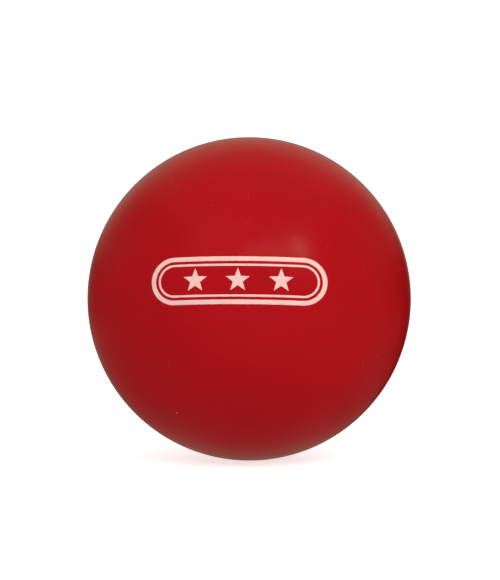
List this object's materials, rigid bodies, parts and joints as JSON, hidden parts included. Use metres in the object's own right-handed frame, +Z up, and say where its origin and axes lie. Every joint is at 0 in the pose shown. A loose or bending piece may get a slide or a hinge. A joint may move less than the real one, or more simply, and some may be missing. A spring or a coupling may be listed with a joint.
{
  "type": "seamless hard ball",
  "caption": "Smooth red hard ball of cricket and hockey size: a moulded two-half cover with a printed mark, over a core of cork and yarn wound in layers.",
  "frame": {"origin": "centre of the ball", "axes": "+Z up; +Y along the axis through the poles of the two cover halves, so the halves meet on the XZ plane and the printed mark faces -Y; +X to the right of the mark"},
  "size_m": [0.0724, 0.0725, 0.0724],
  "materials": {
    "cover": "satin",
    "ink": "satin",
    "latex": "satin",
    "yarn": "matte",
    "sheet_cork": "matte",
    "centre_compound": "matte"
  },
  "bodies": {
    "root": {"centre_ball": "centre_compound", "yarn_winding_1": "yarn", "yarn_winding_2": "yarn", "yarn_winding_3": "yarn", "yarn_winding_4": "yarn", "yarn_winding_5": "yarn", "cork_layer_1_gore_1": "sheet_cork", "cork_layer_1_gore_2": "sheet_cork", "cork_layer_1_gore_3": "sheet_cork", "cork_layer_1_gore_4": "sheet_cork", "cork_layer_2_gore_1": "sheet_cork", "cork_layer_2_gore_2": "sheet_cork", "cork_layer_2_gore_3": "sheet_cork", "cork_layer_2_gore_4": "sheet_cork", "cork_layer_3_gore_1": "sheet_cork", "cork_layer_3_gore_2": "sheet_cork", "cork_layer_3_gore_3": "sheet_cork", "cork_layer_3_gore_4": "sheet_cork", "cork_layer_4_gore_1": "sheet_cork", "cork_layer_4_gore_2": "sheet_cork", "cork_layer_4_gore_3": "sheet_cork", "cork_layer_4_gore_4": "sheet_cork", "latex_skin": "latex", "cover_front": "cover", "cover_back": "cover", "weld_bead": "cover", "print_border": "ink", "print_stars": "ink"}
  },
  "joints": []
}
